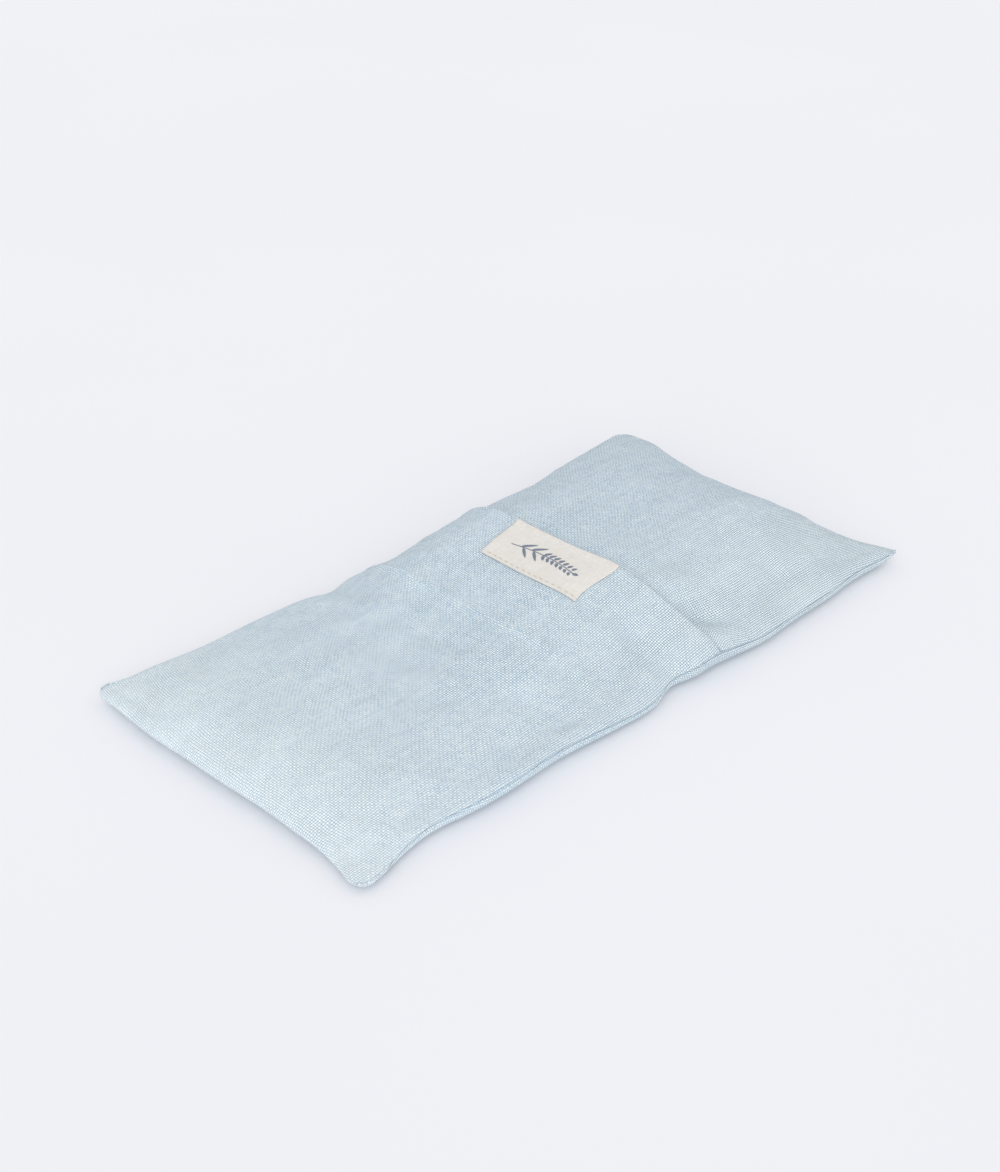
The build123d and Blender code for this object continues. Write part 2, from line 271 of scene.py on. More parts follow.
def settled_move(along, across):
    """Movement of places on the top, read from the simulated grid."""
    rows, cols = settled.shape[:2]
    r = np.clip(along / LENGTH * (rows - 1), 0, rows - 1.001)
    c = np.clip(across / WIDTH * (cols - 1), 0, cols - 1.001)
    r0, c0 = r.astype(int), c.astype(int)
    fr, fc = (r - r0)[..., None], (c - c0)[..., None]
    fr, fc = fr * fr * (3 - 2 * fr), fc * fc * (3 - 2 * fc)
    near = settled[r0, c0] * (1 - fc) + settled[r0, c0 + 1] * fc
    far = settled[r0 + 1, c0] * (1 - fc) + settled[r0 + 1, c0 + 1] * fc
    return near * (1 - fr) + far * fr


def averaged(grid, times):
    """Grid smoothed by averaging neighbours, a number of times over."""
    for _ in range(times):
        padded = np.pad(grid, ((1, 1), (1, 1), (0, 0)), mode="edge")
        grid = (padded[:-2, 1:-1] + padded[2:, 1:-1] + padded[1:-1, :-2] + padded[1:-1, 2:]) / 8 + grid / 2
    return grid


def read_points(mesh):
    """Places of a mesh's points, in millimetres."""
    places = np.zeros(len(mesh.vertices) * 3)
    mesh.vertices.foreach_get("co", places)
    return places.reshape(-1, 3) / MM


def loose_bag(top, bottom, rows, cols):
    """The top and the underside as one closed bag. Only the inner points of the top are free to move."""
    count = rows * cols
    rim = grid_rim(rows, cols)
    on_rim = set(rim)
    upper = grid_faces(rows, cols)
    lower = [tuple(k if k in on_rim else k + count for k in face[::-1]) for face in upper]
    bag = new_object("settling", np.concatenate([top, bottom]), upper + lower, None)
    held = bag.vertex_groups.new(name="held")
    held.add(rim + list(range(count, 2 * count)), 1.0, "REPLACE")
    return bag


def blow_up(bag):
    """Runs the cloth simulation on the bag, and returns its points in millimetres."""
    modifier = bag.modifiers.new("cloth", "CLOTH")
    modifier.collision_settings.use_collision = False
    rules = modifier.settings
    rules.quality = 6
    rules.mass = 0.2
    rules.tension_stiffness = rules.compression_stiffness = 15
    rules.shear_stiffness = 8
    rules.bending_stiffness = 0.2
    rules.vertex_group_mass = "held"
    rules.use_pressure = True
    rules.uniform_pressure_force = 4
    rules.shrink_min = -0.02
    rules.effector_weights.gravity = 0
    scene = bpy.context.scene
    for timed in (scene, modifier.point_cache):
        timed.frame_start, timed.frame_end = 1, SETTLE_FRAMES
    for frame_number in range(1, SETTLE_FRAMES + 1):
        scene.frame_set(frame_number)
    points = read_points(bag.evaluated_get(bpy.context.evaluated_depsgraph_get()).data)
    scene.frame_set(1)
    return points


def simulate_settling():
    """Small movements of the top, in millimetres, from the cloth simulation."""
    rows = int(LENGTH / SETTLE_STEP) + 1
    cols = int(WIDTH / SETTLE_STEP) + 1
    a, b = np.meshgrid(np.linspace(0, LENGTH, rows), np.linspace(0, WIDTH, cols), indexing="ij")
    top = on_shape(a, b).reshape(-1, 3)
    bag = loose_bag(top, on_shape(a, b, True).reshape(-1, 3), rows, cols)
    move = (blow_up(bag)[:rows * cols] - top).reshape(rows, cols, 3)
    bpy.data.objects.remove(bag)
    move = SETTLE_KEPT * averaged(move - averaged(move, FOLD_PASSES), 1)
    size = np.linalg.norm(move, axis=-1, keepdims=True)
    move = move * np.minimum(1, SETTLE_MOST / np.maximum(size, 1e-6))
    from_edges = np.minimum(np.minimum(a, LENGTH - a), np.minimum(b, WIDTH - b))
    pressed = 0.8 * bump(a, FLAP_EDGE, 10)
    return move * (smooth(from_edges, 0, SETTLE_MARGIN) * (1 - pressed))[..., None]


def outward(along, across, under=False):
    """Unit normal of the soft shape, pointing out of the pillow."""
    step = 0.15
    a0, a1 = np.clip(along - step, 0, LENGTH), np.clip(along + step, 0, LENGTH)
    b0, b1 = np.clip(across - step, 0, WIDTH), np.clip(across + step, 0, WIDTH)
    lengthways = on_shape(a1, across, under) - on_shape(a0, across, under)
    crossways = on_shape(along, b1, under) - on_shape(along, b0, under)
    normal = np.cross(lengthways, crossways)
    normal /= np.maximum(np.linalg.norm(normal, axis=-1, keepdims=True), 1e-9)
    return -normal if under else normal


def bowed(along, across):
    """The flap's edge isn't straight: rows near it lie further to the rear at the two sides."""
    side = 2 * across / WIDTH - 1
    bow = np.where(side > 0, FAR_BOW, NEAR_BOW) * np.abs(side) ** 3
    return along + bow * smooth(along, FLAP_EDGE - BOW_REACH, FLAP_EDGE)


def under_cloth(along, across, depth, under=False):
    """Point at a depth inside the soft shape, or outside it if the depth is negative."""
    return on_shape(along, across, under) - np.expand_dims(depth, -1) * outward(along, across, under)


def away_from_seams(across):
    """0 at the side seams and 1 further in."""
    return smooth(np.minimum(across, WIDTH - across), 0, 6)


def front_depth(along, across):
    """The top over the double hem stands a little higher than the single cloth before it, and most of all
    along the hem's inner edge and its fold. At the side seams it is sewn down."""
    ridges = HEM_RIDGE * bump(along, FLAP_HEM_EDGE + 1.0, 1.3) + EDGE_RIDGE * bump(along, FLAP_EDGE, 2.0)
    double = HEM_SHOWS * smooth(along, FLAP_HEM_EDGE - 1.0, FLAP_HEM_EDGE + 0.6)
    return -(double + ridges) * away_from_seams(across)


def on_flap(along, across, above=0.0):
    """Point on the top of the front half or the flap, or above it."""
    along, across = np.broadcast_arrays(along * 1.0, across * 1.0)
    return under_cloth(bowed(along, across), across, front_depth(along, across) - above)


# ---- Places to sample the cloth at ----
def from_edge(span, count):
    """Distances from an edge, close together near it, up to but not including the span."""
    return span * (np.arange(count) / count) ** 2


def evenly(start, end, step):
    """Even places from start to end, both included."""
    return np.linspace(start, end, max(2, int(round(abs(end - start) / step)) + 1))


GRID = 1.1  # usual distance between points of the cloth
ROUND_SPAN, ROUND_COUNT = 12.0, 22  # closer points over each rounded edge
END_SPAN = 2 * ROUND_SPAN  # and over the tops of the two ends
TUCK_COUNT = 6  # columns that turn into the seam


def columns():
    """Places across the cover, and how far each column has turned into the seam: 0 for the open cloth, up
    to a right angle for the first and last column."""
    edge = from_edge(ROUND_SPAN, ROUND_COUNT)
    across = np.concatenate([edge, evenly(ROUND_SPAN, WIDTH - ROUND_SPAN, GRID), WIDTH - edge[::-1]])
    turn = np.linspace(math.pi / 2, 0, TUCK_COUNT + 1)[:-1]
    across = np.concatenate([np.zeros(TUCK_COUNT), across, np.full(TUCK_COUNT, WIDTH)])
    turn = np.concatenate([turn, np.zeros(len(across) - 2 * TUCK_COUNT), turn[::-1]])
    return across, turn


def tuck_in(points, along, across, turn, under):
    """Turns the outermost columns of a sheet round its shoulder into the seam."""
    shows = 0.1 + 0.9 * seam_shows(along)
    towards_middle = np.where(across < WIDTH / 2, 1, -1)
    towards_seam = 1 if under else -1
    points = points.copy()
    points[..., 1] += TUCK * shows * towards_middle * (1 - np.cos(turn))
    points[..., 2] += SHOULDER * seam_shows(along) * towards_seam * np.sin(turn)
    return points


HIDDEN_INSET = 2.6  # layers inside the seams end this far from the side edges


def inside_seams(across, turn, hidden):
    """Places across and turns for a layer that lies inside the seams, where hidden is 1, instead of turning
    into them."""
    side = np.where(across < WIDTH / 2, -1, 1)
    from_middle = (across + side * turn / (math.pi / 2) - WIDTH / 2) / (WIDTH / 2 + 1)
    place = WIDTH / 2 + from_middle * (WIDTH / 2 - HIDDEN_INSET)
    return across + (place - across) * hidden, turn * (1 - hidden)


# ---- Meshes ----
def new_object(name, vertices, faces, material, smooth_faces=True):
    """Mesh object from points in millimetres."""
    mesh = bpy.data.meshes.new(name)
    mesh.from_pydata((np.asarray(vertices, float) * MM).tolist(), [], faces)
    mesh.update()
    if smooth_faces:
        mesh.polygons.foreach_set("use_smooth", [True] * len(mesh.polygons))
    if material is not None:
        mesh.materials.append(material)
    made = bpy.data.objects.new(name, mesh)
    bpy.context.scene.collection.objects.link(made)
    return made


def grid_faces(rows, cols, first=0, flip=False):
    """Quads of a grid whose points are numbered row by row from first."""
    starts = [first + r * cols + c for r in range(rows - 1) for c in range(cols - 1)]
    way = -1 if flip else 1
    return [(a, a + cols, a + cols + 1, a + 1)[::way] for a in starts]


def grid_rim(rows, cols):
    """Numbers of a grid's border points, in order round it."""
    bottom = list(range(cols))
    right = [r * cols + cols - 1 for r in range(1, rows)]
    top = [(rows - 1) * cols + c for c in range(cols - 2, -1, -1)]
    left = [r * cols for r in range(rows - 2, 0, -1)]
    return bottom + right + top + left


def grid_normals(points):
    """Unit normals of a grid of points: rows cross columns."""
    normal = np.cross(np.gradient(points, axis=0), np.gradient(points, axis=1))
    return normal / np.maximum(np.linalg.norm(normal, axis=-1, keepdims=True), 1e-9)


def run_length(points):
    """Distance run along the first axis of a line or grid of points."""
    steps = np.linalg.norm(np.diff(points, axis=0), axis=-1)
    return np.concatenate([np.zeros_like(steps[:1]), np.cumsum(steps, axis=0)])


def cloth_places(grid, square_row):
    """Place of each point of a grid in its own cloth, in millimetres: lengthways along its column from the
    row that lies square in the cloth, and crossways along its row from the middle column."""
    middle = grid.shape[1] // 2
    lengthways = run_length(grid)
    crossways = run_length(grid.transpose(1, 0, 2)).T
    lengthways = lengthways - lengthways[square_row]
    crossways = crossways - crossways[:, middle][:, None]
    return np.stack([lengthways, crossways, np.zeros_like(crossways)], axis=-1)


def closed_faces(rows, cols, flip=False):
    """Faces of two grids that follow each other, and of the wall between their borders."""
    count = rows * cols
    rim = grid_rim(rows, cols)
    way = -1 if flip else 1
    wall = [(a, b, b + count, a + count)[::way] for a, b in zip(rim, rim[1:] + rim[:1])]
    return grid_faces(rows, cols, 0, flip) + grid_faces(rows, cols, count, not flip) + wall


def tube_faces(first, sides, rings):
    """Faces of a closed tube whose points are numbered ring by ring from first."""
    faces = []
    for start in range(first, first + (rings - 1) * sides, sides):
        for k in range(sides):
            a, b = start + k, start + (k + 1) % sides
            faces.append((a, a + sides, b + sides, b))
    last = first + (rings - 1) * sides
    return faces + [tuple(range(first, first + sides)), tuple(range(last, last + sides))[::-1]]


def cloth(name, outer, thickness, material, facing=1, square_row=0):
    """Closed sheet of cloth: a grid of points for its outer face, and the same grid one thickness inside.
    facing is 1 where rows cross columns gives the outer side, and -1 where it gives the inner side."""
    inner = outer - facing * thickness * grid_normals(outer)
    vertices = np.concatenate([outer.reshape(-1, 3), inner.reshape(-1, 3)])
    made = new_object(name, vertices, closed_faces(*outer.shape[:2], facing < 0), material)
    place = cloth_places(outer, square_row).reshape(-1, 3)
    weave = made.data.attributes.new("weave", "FLOAT_VECTOR", "POINT")
    weave.data.foreach_set("vector", np.concatenate([place, place]).ravel())
    return made


def flat_size(outer):
    """(width, length) in metres of the flat cloth that a grid was cut from."""
    length = run_length(outer)[-1].mean()
    width = run_length(outer.transpose(1, 0, 2))[-1].mean()
    return width * MM, length * MM


# ---- The cover ----
CURL_ROWS = 7  # round the fold of a hem


def hem_rows(edge, width, forward):
    """Rows of a hem: round its fold, and back along the layer turned under. forward is 1 or -1."""
    radius = FLAP_STEP / 2
    angles = np.linspace(math.pi / 2, -math.pi / 2, CURL_ROWS + 2)[1:-1]
    fold = [(edge + forward * radius * math.cos(t), radius * (1 - math.sin(t)), False) for t in angles]
    return fold + [(a, FLAP_STEP, False) for a in evenly(edge, edge - forward * width, GRID * 1.5)]


def front_rows():
    """Rows of the front piece, as (along, depth, under): from below the front end to the flap's edge."""
    below = [(UNDER_JOIN, 0.0, True)] + [(a, 0.0, True) for a in from_edge(UNDER_JOIN, 10)[::-1]]
    rounded = from_edge(END_SPAN, ROUND_COUNT)[1:]
    return below + [(a, 0.0, False) for a in np.concatenate([rounded, evenly(END_SPAN, FLAP_EDGE, GRID)])]


def back_rows():
    """Rows of the back piece: underside, rear fold, and rear panel up to its edge under the flap."""
    below = [(a, 0.0, True) for a in evenly(UNDER_JOIN + 0.1, LENGTH - ROUND_SPAN, GRID * 1.6)]
    below += [(LENGTH - d, 0.0, True) for d in from_edge(ROUND_SPAN, ROUND_COUNT)[::-1]]
    top = [(LENGTH - d, 0.0, False) for d in from_edge(END_SPAN, ROUND_COUNT)[1:]]
    return below + top + [(a, 0.0, False) for a in evenly(LENGTH - END_SPAN, REAR_EDGE, GRID)]


def panel(rows, layer):
    """Grid of points of one piece of the cover. layer lays a row of its top side at a depth."""
    across, turn = columns()
    grid = []
    for along, depth, under in rows:
        a = np.full_like(across, along)
        points, row_turn = (on_shape(a, across, True), turn) if under else layer(a, across, turn, depth)
        grid.append(tuck_in(points, a, across, row_turn, under))
    return np.stack(grid)


def front_layer(along, across, turn, depth):
    """A row of the front half or the flap: its points, and how far each turns into the seam."""
    place, turn = inside_seams(across, turn, smooth(depth, 0.3, 1.0))
    return under_cloth(bowed(along, place), place, front_depth(along, place) + depth), turn


def front_sheet(material):
    """The front half: its folded end, the top, the flap and the flap's hem, in one piece of linen."""
    rows = front_rows()
    outer = panel(rows + hem_rows(FLAP_EDGE, FLAP_HEM, 1), front_layer)
    return cloth("cover_front", outer, LINEN, material, 1, len(rows) - 1), flat_size(outer)


def rear_depth(along, across):
    """Depth of the rear panel: a whole hem under the flap, and rising to the surface behind it."""
    from_side = np.minimum(across, WIDTH - across)
    edge = bowed(np.full_like(across, FLAP_EDGE), across)
    covered = 1 - smooth(along, edge - 0.5, edge + 1.5)
    settling = 1 - smooth(along, FLAP_EDGE + 5, FLAP_EDGE + 85)
    open_depth = (FLAP_STEP - HEM_SHOWS) * settling * (1 - np.exp(-from_side / 4))
    covered_depth = UNDER_FLAP_DEPTH - HEM_SHOWS * away_from_seams(across)
    return covered * covered_depth + (1 - covered) * open_depth, covered


def rear_layer(along, across, turn, depth):
    """A row of the rear panel: its points, and how far each turns into the seam."""
    laid, covered = rear_depth(along, across)
    place, turn = inside_seams(across, turn, covered)
    return under_cloth(along, place, laid + depth), turn


def back_sheet(material):
    """The rest of the strip: the underside, the rear fold, the rear panel and the hem under the flap."""
    outer = panel(back_rows() + hem_rows(REAR_EDGE, REAR_HEM, -1), rear_layer)
    return cloth("cover_back", outer, LINEN, material, -1, len(outer) // 2), flat_size(outer)


# ---- Stitches ----
STITCH_SIDES, STITCH_RINGS = 8, 7
STITCH_AIM = 0.3  # how far before and after its place a stitch takes its direction from


def stitches(name, centres, directions, length, radius, material):
    """Short round-ended lengths of thread, one at each centre, joined in one mesh."""
    vertices, faces = [], []
    reach = np.linspace(-1, 1, STITCH_RINGS)
    girth = np.sqrt(np.clip(1 - np.abs(reach) ** 3, 0.02, 1))
    angles = np.arange(STITCH_SIDES) * 2 * math.pi / STITCH_SIDES
    for centre, direction in zip(centres, directions):
        direction = direction / np.linalg.norm(direction)
        side = np.cross(direction, (0, 0, 1.0))
        side /= np.linalg.norm(side)
        upward = np.cross(side, direction)
        faces += tube_faces(len(vertices), STITCH_SIDES, STITCH_RINGS)
        for share, wide in zip(reach, girth):
            for angle in angles:
                spoke = math.cos(angle) * side + math.sin(angle) * upward
                vertices.append(centre + direction * share * length / 2 + spoke * wide * radius)
    return new_object(name, vertices, faces, material)


def points_along(line, places):
    """Points at distances run along a line of points."""
    run = run_length(line)
    return np.stack([np.interp(places, run, line[:, k]) for k in range(3)], axis=1)


def row_of_stitches(name, line, pitch, length, radius, material):
    """Stitches spaced evenly along a line of points."""
    places = np.arange(pitch / 2, run_length(line)[-1], pitch)
    directions = points_along(line, places + STITCH_AIM) - points_along(line, places - STITCH_AIM)
    return stitches(name, points_along(line, places), directions, length, radius, material)


# ---- Materials ----
def linear(colour):
    """Linear colour from display values of 0 to 255."""
    shares = [v / 255 for v in colour]
    return tuple(v / 12.92 if v <= 0.04045 else ((v + 0.055) / 1.055) ** 2.4 for v in shares) + (1.0,)


class Paint:
    """A procedural material and short ways to add nodes to it. Distances are in millimetres."""

    def __init__(self, name):
        self.material = bpy.data.materials.new(name)
        self.material.use_nodes = True
        self.tree = self.material.node_tree
        self.shader = self.tree.nodes["Principled BSDF"]

    def node(self, kind, inputs, **settings):
        """A new node. inputs gives its sockets, by number or name, the values or the sockets they take."""
        made = self.tree.nodes.new(kind)
        for key, value in settings.items():
            setattr(made, key, value)
        self.feed(made, inputs)
        return made

    def feed(self, made, inputs):
        """Links a node's sockets, or sets their values."""
        for key, value in inputs.items():
            if isinstance(value, bpy.types.NodeSocket):
                self.tree.links.new(value, made.inputs[key])
            else:
                made.inputs[key].default_value = value

    def math(self, operation, *values):
        return self.node("ShaderNodeMath", dict(enumerate(values)), operation=operation).outputs[0]

    def add(self, a, b):
        return self.math("ADD", a, b)

    def less(self, a, b):
        return self.math("SUBTRACT", a, b)

    def times(self, a, b, plus=0.0):
        """a times b, and then plus a third value."""
        return self.math("MULTIPLY_ADD", a, b, plus)

    def blend(self, share, a, b):
        """a where share is 0 and b where it is 1, for plain values."""
        return self.times(self.less(b, a), share, a)

    def span(self, value, low, high, to_low=0.0, to_high=1.0):
        """value taken from low..high to to_low..to_high, and held there."""
        inputs = dict(enumerate((value, low, high, to_low, to_high)))
        return self.node("ShaderNodeMapRange", inputs, clamp=True).outputs[0]

    def join(self, x, y, z=0.0):
        return self.node("ShaderNodeCombineXYZ", {0: x, 1: y, 2: z}).outputs[0]

    def split(self, vector):
        return self.node("ShaderNodeSeparateXYZ", {0: vector}).outputs

    def place(self):
        """The cloth's own coordinates."""
        return self.node("ShaderNodeAttribute", {}, attribute_name="weave").outputs["Vector"]

    def body_place(self):
        """The object's coordinates."""
        metres = self.node("ShaderNodeTexCoord", {}).outputs["Object"]
        return self.node("ShaderNodeVectorMath", {0: metres, "Scale": 1 / MM}, operation="SCALE").outputs[0]

    def noise(self, vector, per_mm, detail=2.0, roughness=0.5, flat=False):
        inputs = {"Vector": vector, "Scale": per_mm, "Detail": detail, "Roughness": roughness}
        return self.node("ShaderNodeTexNoise", inputs, noise_dimensions="2D" if flat else "3D").outputs[0]

    def colours(self, share, *stops):
        """Colour ramp; each stop is (position, colour in display values)."""
        made = self.node("ShaderNodeValToRGB", {0: share})
        ramp = made.color_ramp
        while len(ramp.elements) < len(stops):
            ramp.elements.new(0.5)
        for element, (position, colour) in zip(ramp.elements, stops):
            element.position = position
            element.color = linear(colour)
        return made.outputs[0]

    def two_tone(self, noise, dark, light):
        """From the dark colour to the light one over the middle of a noise's values."""
        return self.colours(self.span(noise, 0.3, 0.7), (0.0, dark), (1.0, light))

    def tint(self, colour, share, other):
        """The colour taken by a share towards another one, given in display values."""
        inputs = {0: share, 6: colour, 7: linear(other)}
        return self.node("ShaderNodeMix", inputs, data_type="RGBA").outputs[2]

    def finish(self, colour, height, depth, strength, **plain):
        """Links colour and relief to the shader. depth is the relief's full height in millimetres."""
        inputs = {"Height": height, "Distance": depth * MM, "Strength": strength}
        inputs = {"Base Color": colour, "Normal": self.node("ShaderNodeBump", inputs).outputs[0]}
        inputs.update({name.replace("_", " "): value for name, value in plain.items()})
        self.feed(self.shader, inputs)
        return self.material


def plain_weave(paint, pitch, waver, yarn_length):
    """Plain weave in the cloth's own coordinates: its relief from 0 to 1, the tone of the yarn on top,
    whether that yarn runs lengthways, and a chance tone for each crossing."""
    place = paint.place()
    lengthways_place, crossways_place = paint.split(place)[:2]
    drift = paint.less(paint.noise(place, 0.11, 2.0, flat=True), 0.5)
    drift_2 = paint.less(paint.noise(place, 0.07, 2.0), 0.5)
    u = paint.math("DIVIDE", paint.times(drift, waver, lengthways_place), pitch)
    v = paint.math("DIVIDE", paint.times(drift_2, waver, crossways_place), pitch)
    row, column = paint.math("FLOOR", u), paint.math("FLOOR", v)
    lengthways_on_top = paint.math("FLOORED_MODULO", paint.add(row, column), 2.0)

    def round_yarn(value):
        """Arched profile over one yarn: 1 on its middle and 0 in the gaps."""
        centred = paint.times(paint.math("FRACT", value), 2.0, -1.0)
        return paint.less(1.0, paint.times(centred, centred))

    over_u, over_v = round_yarn(u), round_yarn(v)
    lengthways = paint.times(over_v, paint.times(over_u, 0.5, 0.5))
    crossways = paint.times(over_u, paint.times(over_v, 0.5, 0.5))
    relief_height = paint.blend(lengthways_on_top, crossways, lengthways)
    spread = 7.31  # keeps neighbouring yarns' tones apart
    stretch = pitch / yarn_length
    warp = paint.noise(paint.join(paint.times(u, stretch), paint.times(column, spread)), 1.0, 2.0, flat=True)
    weft = paint.noise(paint.join(paint.times(row, spread), paint.times(v, stretch), 9.0), 1.0, 2.0)
    tone = paint.blend(lengthways_on_top, weft, warp)
    crossing = paint.noise(paint.join(paint.times(row, spread), paint.times(column, spread)), 1.0, 0.0)
    return relief_height, tone, lengthways_on_top, crossing


def linen_material():
    """Pale blue linen: an open plain weave of uneven, slubby yarns, in bands and streaks that run with the
    threads. The yarns that run lengthways catch more light. Painted light makes the cloth paler towards the
    front end and along the near side, and painted shade darkens its gaps, the more so along the near side,
    over the full rear half and unevenly."""
    paint = Paint("pale_blue_linen")
    place = paint.place()
    height, tone, warp_on_top, crossing = plain_weave(paint, 0.68, 1.3, 5.0)
    slub = paint.span(tone, 0.56, 0.74)
    uneven = paint.times(crossing, 0.35, paint.times(tone, 0.47))
    shade = paint.times(warp_on_top, 0.18, uneven)
    colour = paint.colours(paint.span(shade, 0.3, 0.7), (0.0, (191, 212, 227)),
                           (0.5, (225, 242, 253)), (1.0, (245, 255, 255)))
    lengthways, crossways = paint.split(place)[:2]
    bands = paint.noise(paint.join(paint.times(lengthways, 0.15), crossways), 0.1, 3.0, 0.6)
    cross_bands = paint.noise(paint.join(lengthways, paint.times(crossways, 0.15), 20.0), 0.08, 3.0, 0.55)
    pale = paint.times(paint.add(bands, cross_bands), 0.5)
    colour = paint.tint(colour, paint.span(pale, 0.44, 0.6, 0.0, 0.24), (231, 244, 252))
    streaks = paint.noise(paint.join(paint.times(lengthways, 0.12), crossways), 0.5, 3.0)
    colour = paint.tint(colour, paint.span(streaks, 0.5, 0.75, 0.0, 0.3), (189, 206, 218))
    along, across = paint.split(paint.body_place())[:2]
    # Painted light: the cloth is tinted paler towards the front end, where its slopes face the light.
    colour = paint.tint(colour, paint.span(along, -105.0, -55.0, 0.4, 0.0), (246, 253, 255))
    # Painted light: paler along the near side, more so towards the rear. The same share also deepens the
    # painted shade in the gaps there.
    near_side_painted_light = paint.times(paint.span(across, -8.0, -40.0), paint.span(along, -80.0, 60.0, 0.0, 0.42))
    colour = paint.tint(colour, near_side_painted_light, (244, 254, 255))
    # Painted shade in the gaps between the yarns, in dark blue: it grows from the front end towards the
    # rear, is stronger along the near side, and a random looseness of the weave makes it uneven.
    rearward_gap_shade = paint.span(along, -100.0, 20.0, 0.5, 0.74)
    loose = paint.noise(paint.join(paint.times(lengthways, 0.3), crossways, 40.0), 0.09, 2.0)
    openness_and_painted_light = paint.times(near_side_painted_light, 0.3, paint.span(loose, 0.3, 0.7, -0.12, 0.16))
    painted_gap_shade = paint.times(paint.span(height, 0.1, 0.7, 1.0, 0.0), paint.add(rearward_gap_shade, openness_and_painted_light))
    colour = paint.tint(colour, paint.math("MINIMUM", painted_gap_shade, 1.0), (70, 99, 120))
    relief_height = paint.add(height, paint.times(slub, 0.6))
    fluff = paint.noise(place, 4.0, 2.0)
    roughness = paint.span(fluff, 0.3, 0.7, 0.82, 0.94)
    return paint.finish(colour, relief_height, 0.2, 0.8, Roughness=roughness, Sheen_Weight=0.08,
                        Sheen_Roughness=0.5, Specular_IOR_Level=0.2)


def thread_material(name, dark, light):
    """Twisted sewing thread."""
    paint = Paint(name)
    place = paint.body_place()
    fibres = paint.noise(place, 3.0, 3.0, 0.6)
    colour = paint.two_tone(fibres, dark, light)
    x, y, z = paint.split(place)
    twist = paint.math("SINE", paint.times(paint.add(paint.add(x, y), z), 14.0))
    return paint.finish(colour, twist, 0.03, 0.5, Roughness=0.6, Sheen_Weight=0.2, Specular_IOR_Level=0.35)


def fine_cloth(paint, weave, tones, marks, mark, gap_shade_share, gaps):
    """Relief and colour of a fine plain weave: two tones of yarn, marks of a colour, and painted shade in
    the gaps between the yarns.
    """
    height, tone, *_ = plain_weave(paint, *weave)
    colour = paint.tint(paint.two_tone(tone, *tones), marks, mark)
    # Painted shade: the colour is darkened where the relief is low, in the gaps between the yarns.
    return height, paint.tint(colour, paint.span(height, 0.0, 0.4, gap_shade_share, 0.0), gaps)


def tape_material():
    """Off-white label tape in a fine plain weave, with faintly yellowed patches."""
    paint = Paint("label_tape")
    patches = paint.span(paint.noise(paint.place(), 0.12, 3.0), 0.5, 0.75, 0.0, 0.35)
    # The last colour is painted shade in the gaps between the yarns.
    height, colour = fine_cloth(paint, (0.36, 0.15, 3.0), ((222, 219, 213), (238, 235, 230)),
                                patches, (226, 216, 200), 0.25, (196, 192, 186))
    return paint.finish(colour, height, 0.08, 0.6, Roughness=0.75, Sheen_Weight=0.1, Specular_IOR_Level=0.3)


def cotton_material():
    """Unbleached cotton of the inner bag, with darker flecks of seed husk in it."""
    paint = Paint("unbleached_cotton")
    flecks = paint.span(paint.noise(paint.place(), 1.4, 2.0), 0.68, 0.74, 0.0, 0.6)
    # The last colour is painted shade in the gaps between the yarns.
    height, colour = fine_cloth(paint, (0.42, 0.25, 4.0), ((222, 214, 196), (240, 234, 220)),
                                flecks, (150, 122, 88), 0.3, (186, 176, 154))
    return paint.finish(colour, height, 0.1, 0.6, Roughness=0.88, Sheen_Weight=0.1, Specular_IOR_Level=0.25)


def seed_material():
    """Flax seed: small glossy brown ovals, some of them golden, with painted shade between them."""
    paint = Paint("flax_seed")
    place = paint.body_place()
    squeezed = paint.node("ShaderNodeVectorMath", {0: place, 1: (0.25, 0.5, 0.5)}, operation="MULTIPLY")
    cells = paint.node("ShaderNodeTexVoronoi", {"Vector": squeezed.outputs[0], "Scale": 1.0}, feature="F1")
    which = paint.split(cells.outputs["Color"])[0]
    colour = paint.colours(which, (0.0, (84, 48, 26)), (0.75, (140, 88, 50)), (0.95, (196, 150, 84)))
    # Painted shade between the seeds: the colour darkens towards the edge of each cell.
    gaps = paint.span(cells.outputs["Distance"], 0.35, 0.7)
    colour = paint.tint(colour, paint.times(gaps, 0.8), (40, 24, 14))
    height = paint.less(1.0, gaps)
    return paint.finish(colour, height, 0.6, 0.8, Roughness=0.32, Specular_IOR_Level=0.5)


def motif_material():
    """Grey-blue threads woven into the label."""
    paint = Paint("label_motif_thread")
    place = paint.body_place()
    fibres = paint.noise(place, 5.0, 3.0, 0.6)
    colour = paint.two_tone(fibres, (96, 106, 124), (132, 142, 160))
    return paint.finish(colour, fibres, 0.05, 0.6, Roughness=0.7, Sheen_Weight=0.15, Specular_IOR_Level=0.3)


linen = linen_material()
linen_thread = thread_material("pale_blue_thread", (184, 197, 208), (216, 226, 233))
beige_thread = thread_material("beige_thread", (196, 182, 160), (220, 208, 188))
white_thread = thread_material("overlock_thread", (214, 216, 218), (240, 241, 242))
cotton_thread = thread_material("cotton_thread", (206, 196, 174), (236, 228, 210))
tape = tape_material()
cotton = cotton_material()
seeds = seed_material()
motif_threads = motif_material()


# ---- Building the cover ----
settled = simulate_settling()
HINGE_X = FLAP_HINGE - LENGTH / 2
BEND_START, BEND_END = HINGE_X - 3, HINGE_X + 35
LIFTS_WHOLE = 30.0  # from the middle line to where the seams begin to hold the flap down


